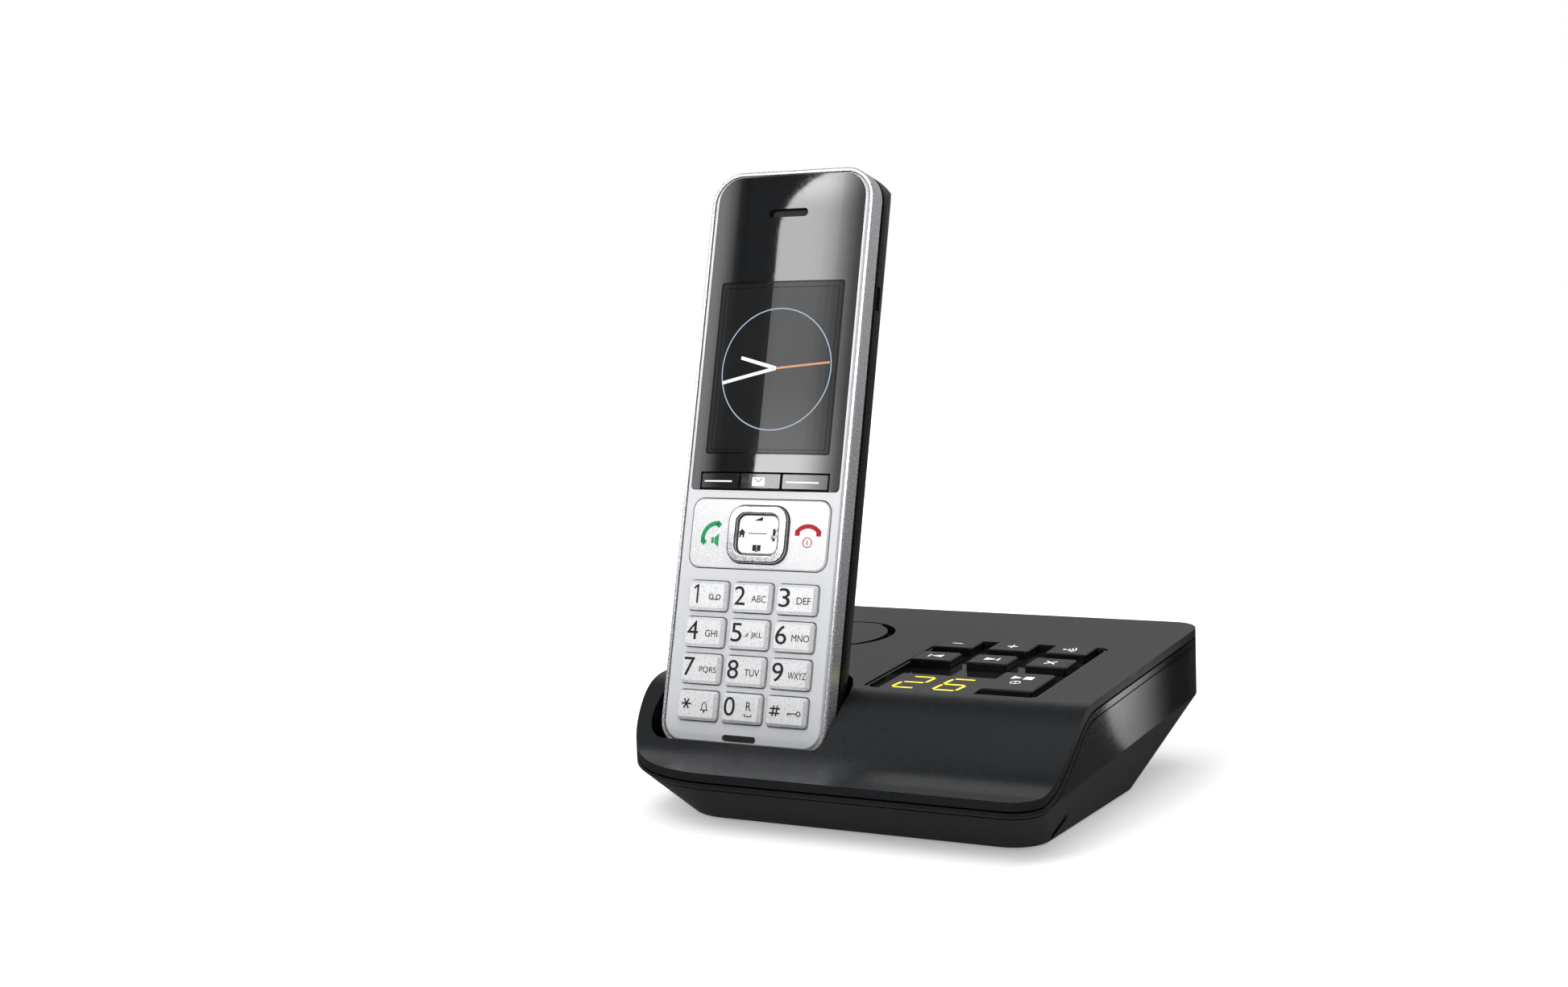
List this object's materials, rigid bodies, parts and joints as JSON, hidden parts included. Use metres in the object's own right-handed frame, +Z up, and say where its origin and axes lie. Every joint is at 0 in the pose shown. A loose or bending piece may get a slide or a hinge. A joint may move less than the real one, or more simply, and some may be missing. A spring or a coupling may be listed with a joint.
{
  "type": "cordless phone with answering machine base",
  "caption": "Cordless telephone handset leaning back in the pocket of a wedge-shaped answering machine base with raised buttons, message counter and speaker ring.",
  "frame": {"origin": "centre of the base's footprint, on the surface its feet stand on", "axes": "+X to the right seen from the front, +Y to the back, +Z up; the handset faces -Y and leans back"},
  "size_m": [0.1266, 0.1262, 0.1695],
  "materials": {
    "black_plastic": "satin",
    "board_green": "satin",
    "cell_jacket": "gloss",
    "charcoal": "satin",
    "chrome_ring": "polished",
    "foot_rubber": "matte",
    "gloss_black": "gloss",
    "key_silver": "satin",
    "metal_contact": "polished",
    "module_grey": "satin",
    "polished_band": "polished",
    "silicone": "matte",
    "silver_plastic": "satin",
    "smoked_lens": "gloss",
    "speaker_black": "matte",
    "steel": "satin"
  },
  "bodies": {
    "base": {"base_lower_shell": "gloss_black", "base_upper_shell": "charcoal", "keypad_tray": "gloss_black", "message_counter_window": "smoked_lens", "led_digit_module": "module_grey", "base_key_mat": "silicone", "base_main_board": "board_green", "radio_antennas": "steel", "base_loudspeaker": "speaker_black", "base_charge_contacts": "metal_contact", "line_socket": "black_plastic", "power_socket": "black_plastic", "base_rubber_feet": "foot_rubber", "base_screws": "steel"},
    "handset": {"handset_front_shell": "silver_plastic", "display_lens": "smoked_lens", "handset_side_band": "polished_band", "handset_back_shell": "black_plastic", "lcd_module": "module_grey", "earpiece_grille": "speaker_black", "earpiece_receiver": "speaker_black", "handset_key_mat": "silicone", "handset_main_board": "board_green", "rechargeable_cells": "cell_jacket", "cell_contacts": "steel", "handset_microphone": "speaker_black", "handsfree_speaker": "speaker_black", "handset_charge_contacts": "metal_contact", "handset_screws": "steel"},
    "battery_cover_body": {"battery_cover": "black_plastic"},
    "call_panel_body": {"call_panel": "key_silver"},
    "nav_plate_body": {"nav_rocker_plate": "steel"},
    "nav_ring_body": {"nav_ring": "chrome_ring"},
    "nav_pad_body": {"nav_centre_pad": "key_silver"},
    "key_1_body": {"key_1": "key_silver"},
    "key_2_body": {"key_2": "key_silver"},
    "key_3_body": {"key_3": "key_silver"},
    "key_4_body": {"key_4": "key_silver"},
    "key_5_body": {"key_5": "key_silver"},
    "key_6_body": {"key_6": "key_silver"},
    "key_7_body": {"key_7": "key_silver"},
    "key_8_body": {"key_8": "key_silver"},
    "key_9_body": {"key_9": "key_silver"},
    "key_star_body": {"key_star": "key_silver"},
    "key_0_body": {"key_0": "key_silver"},
    "key_hash_body": {"key_hash": "key_silver"},
    "soft_key_left_body": {"soft_key_left": "gloss_black"},
    "soft_key_message_body": {"soft_key_message": "gloss_black"},
    "soft_key_right_body": {"soft_key_right": "gloss_black"},
    "volume_down_button_body": {"volume_down_button": "black_plastic"},
    "volume_up_button_body": {"volume_up_button": "black_plastic"},
    "page_button_body": {"page_button": "black_plastic"},
    "previous_button_body": {"previous_button": "black_plastic"},
    "next_button_body": {"next_button": "black_plastic"},
    "delete_button_body": {"delete_button": "black_plastic"},
    "play_stop_button_body": {"play_stop_button": "black_plastic"}
  },
  "joints": [
    {"name": "handset_lift", "type": "slide", "parent": "base", "child": "handset", "axis": [0, 0.2605, 0.9655], "range_m": [0, 0.12]},
    {"name": "battery_cover_off", "type": "slide", "parent": "handset", "child": "battery_cover_body", "axis": [0, 0.9655, -0.2605], "range_m": [0, 0.018]},
    {"name": "key_1_press", "type": "slide", "parent": "handset", "child": "key_1_body", "axis": [0, 0.9655, -0.2605], "range_m": [0, 0.0005], "stiffness_N_per_m": 600, "springref_m": -0.0003},
    {"name": "key_2_press", "type": "slide", "parent": "handset", "child": "key_2_body", "axis": [0, 0.9655, -0.2605], "range_m": [0, 0.0005], "stiffness_N_per_m": 600, "springref_m": -0.0003},
    {"name": "key_3_press", "type": "slide", "parent": "handset", "child": "key_3_body", "axis": [0, 0.9655, -0.2605], "range_m": [0, 0.0005], "stiffness_N_per_m": 600, "springref_m": -0.0003},
    {"name": "key_4_press", "type": "slide", "parent": "handset", "child": "key_4_body", "axis": [0, 0.9655, -0.2605], "range_m": [0, 0.0005], "stiffness_N_per_m": 600, "springref_m": -0.0003},
    {"name": "key_5_press", "type": "slide", "parent": "handset", "child": "key_5_body", "axis": [0, 0.9655, -0.2605], "range_m": [0, 0.0005], "stiffness_N_per_m": 600, "springref_m": -0.0003},
    {"name": "key_6_press", "type": "slide", "parent": "handset", "child": "key_6_body", "axis": [0, 0.9655, -0.2605], "range_m": [0, 0.0005], "stiffness_N_per_m": 600, "springref_m": -0.0003},
    {"name": "key_7_press", "type": "slide", "parent": "handset", "child": "key_7_body", "axis": [0, 0.9655, -0.2605], "range_m": [0, 0.0005], "stiffness_N_per_m": 600, "springref_m": -0.0003},
    {"name": "key_8_press", "type": "slide", "parent": "handset", "child": "key_8_body", "axis": [0, 0.9655, -0.2605], "range_m": [0, 0.0005], "stiffness_N_per_m": 600, "springref_m": -0.0003},
    {"name": "key_9_press", "type": "slide", "parent": "handset", "child": "key_9_body", "axis": [0, 0.9655, -0.2605], "range_m": [0, 0.0005], "stiffness_N_per_m": 600, "springref_m": -0.0003},
    {"name": "key_star_press", "type": "slide", "parent": "handset", "child": "key_star_body", "axis": [0, 0.9655, -0.2605], "range_m": [0, 0.0005], "stiffness_N_per_m": 600, "springref_m": -0.0003},
    {"name": "key_0_press", "type": "slide", "parent": "handset", "child": "key_0_body", "axis": [0, 0.9655, -0.2605], "range_m": [0, 0.0005], "stiffness_N_per_m": 600, "springref_m": -0.0003},
    {"name": "key_hash_press", "type": "slide", "parent": "handset", "child": "key_hash_body", "axis": [0, 0.9655, -0.2605], "range_m": [0, 0.0005], "stiffness_N_per_m": 600, "springref_m": -0.0003},
    {"name": "soft_key_left_press", "type": "slide", "parent": "handset", "child": "soft_key_left_body", "axis": [0, 0.9655, -0.2605], "range_m": [0, 0.0004], "stiffness_N_per_m": 600, "springref_m": -0.0003},
    {"name": "soft_key_message_press", "type": "slide", "parent": "handset", "child": "soft_key_message_body", "axis": [0, 0.9655, -0.2605], "range_m": [0, 0.0004], "stiffness_N_per_m": 600, "springref_m": -0.0003},
    {"name": "soft_key_right_press", "type": "slide", "parent": "handset", "child": "soft_key_right_body", "axis": [0, 0.9655, -0.2605], "range_m": [0, 0.0004], "stiffness_N_per_m": 600, "springref_m": -0.0003},
    {"name": "volume_down_button_press", "type": "slide", "parent": "base", "child": "volume_down_button_body", "axis": [0, 0.0711, -0.9975], "range_m": [0, 0.0008], "stiffness_N_per_m": 600, "springref_m": -0.0004},
    {"name": "volume_up_button_press", "type": "slide", "parent": "base", "child": "volume_up_button_body", "axis": [0, 0.0711, -0.9975], "range_m": [0, 0.0008], "stiffness_N_per_m": 600, "springref_m": -0.0004},
    {"name": "page_button_press", "type": "slide", "parent": "base", "child": "page_button_body", "axis": [0, 0.0711, -0.9975], "range_m": [0, 0.0008], "stiffness_N_per_m": 600, "springref_m": -0.0004},
    {"name": "previous_button_press", "type": "slide", "parent": "base", "child": "previous_button_body", "axis": [0, 0.0711, -0.9975], "range_m": [0, 0.0008], "stiffness_N_per_m": 600, "springref_m": -0.0004},
    {"name": "next_button_press", "type": "slide", "parent": "base", "child": "next_button_body", "axis": [0, 0.0711, -0.9975], "range_m": [0, 0.0008], "stiffness_N_per_m": 600, "springref_m": -0.0004},
    {"name": "delete_button_press", "type": "slide", "parent": "base", "child": "delete_button_body", "axis": [0, 0.0711, -0.9975], "range_m": [0, 0.0008], "stiffness_N_per_m": 600, "springref_m": -0.0004},
    {"name": "play_stop_button_press", "type": "slide", "parent": "base", "child": "play_stop_button_body", "axis": [0, 0.0711, -0.9975], "range_m": [0, 0.0008], "stiffness_N_per_m": 600, "springref_m": -0.0004},
    {"name": "call_panel_rock", "type": "hinge", "parent": "handset", "child": "call_panel_body", "pos_m": [-0.02905, -0.02368, 0.07213], "axis": [0, 0.2605, 0.9655], "range_deg": [-1.2, 1.2], "stiffness_Nm_per_rad": 0.3},
    {"name": "nav_tilt_up_down", "type": "hinge", "parent": "handset", "child": "nav_plate_body", "pos_m": [-0.02905, -0.0237, 0.07203], "axis": [1, 0, 0], "range_deg": [-2, 2], "stiffness_Nm_per_rad": 0.3},
    {"name": "nav_tilt_left_right", "type": "hinge", "parent": "nav_plate_body", "child": "nav_ring_body", "pos_m": [-0.02905, -0.0237, 0.07203], "axis": [0, 0.2605, 0.9655], "range_deg": [-2, 2], "stiffness_Nm_per_rad": 0.3},
    {"name": "nav_pad_press", "type": "slide", "parent": "nav_ring_body", "child": "nav_pad_body", "axis": [0, 0.9655, -0.2605], "range_m": [0, 0.0004], "stiffness_N_per_m": 600, "springref_m": -0.0003}
  ]
}
